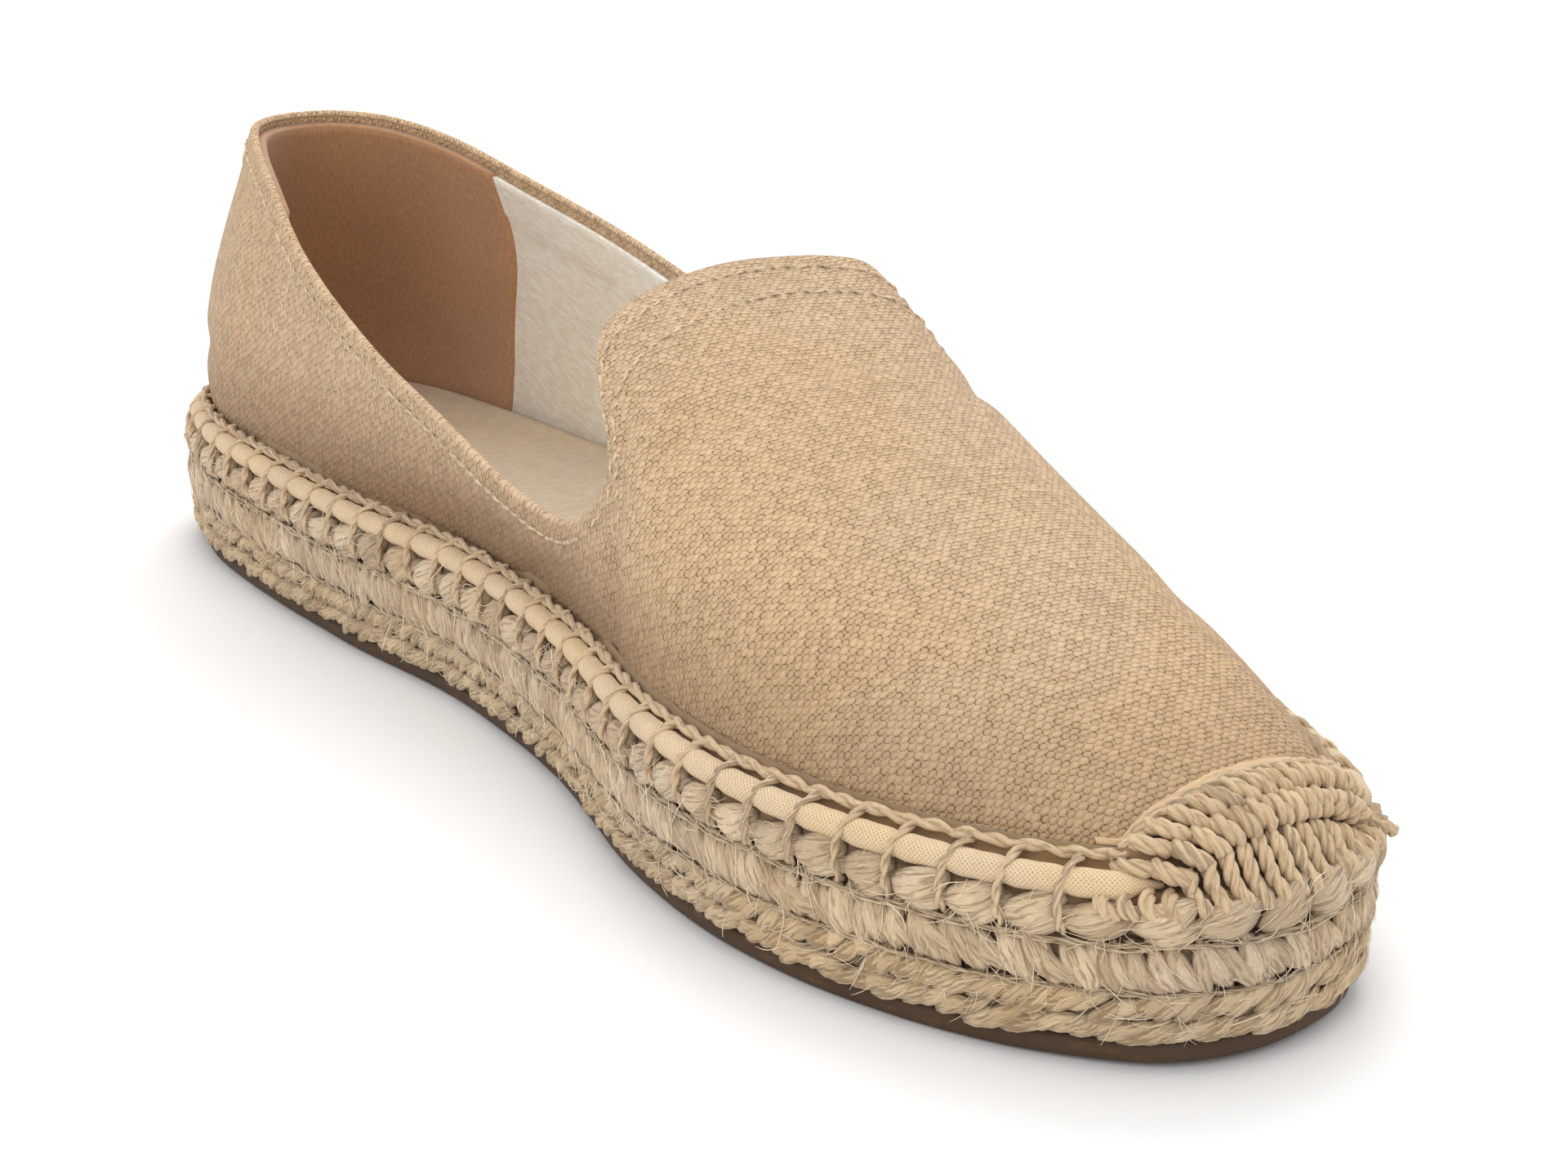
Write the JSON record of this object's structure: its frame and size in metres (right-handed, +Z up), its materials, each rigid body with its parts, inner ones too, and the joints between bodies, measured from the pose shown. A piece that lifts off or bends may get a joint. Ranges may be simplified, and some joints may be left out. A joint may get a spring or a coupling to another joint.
{
  "type": "espadrille",
  "caption": "Left slip-on espadrille: hollow canvas upper with a high vamp, piped edge with blanket stitch, sewn toe, braided jute sole and thin rubber outsole.",
  "frame": {"origin": "on the floor, under the middle of the bounding box", "axes": "+Z up, toe towards -Y, inner (medial) side towards -X"},
  "size_m": [0.0884, 0.2698, 0.0751],
  "materials": {
    "canvas": "coarse plain weave, matt",
    "tape": "fine twill tape, matt",
    "thread": "twisted cotton thread, matt",
    "lining": "smooth cotton twill, matt",
    "jute": "hairy braided jute, matt",
    "rubber": "dull moulded rubber"
  },
  "bodies": {
    "root": {"outsole": "rubber", "jute_braid_lower": "jute", "jute_braid_middle": "jute", "jute_braid_upper": "jute", "insole": "lining", "upper": "canvas", "edge_piping": "tape", "toe_stitching": "thread"}
  },
  "joints": []
}
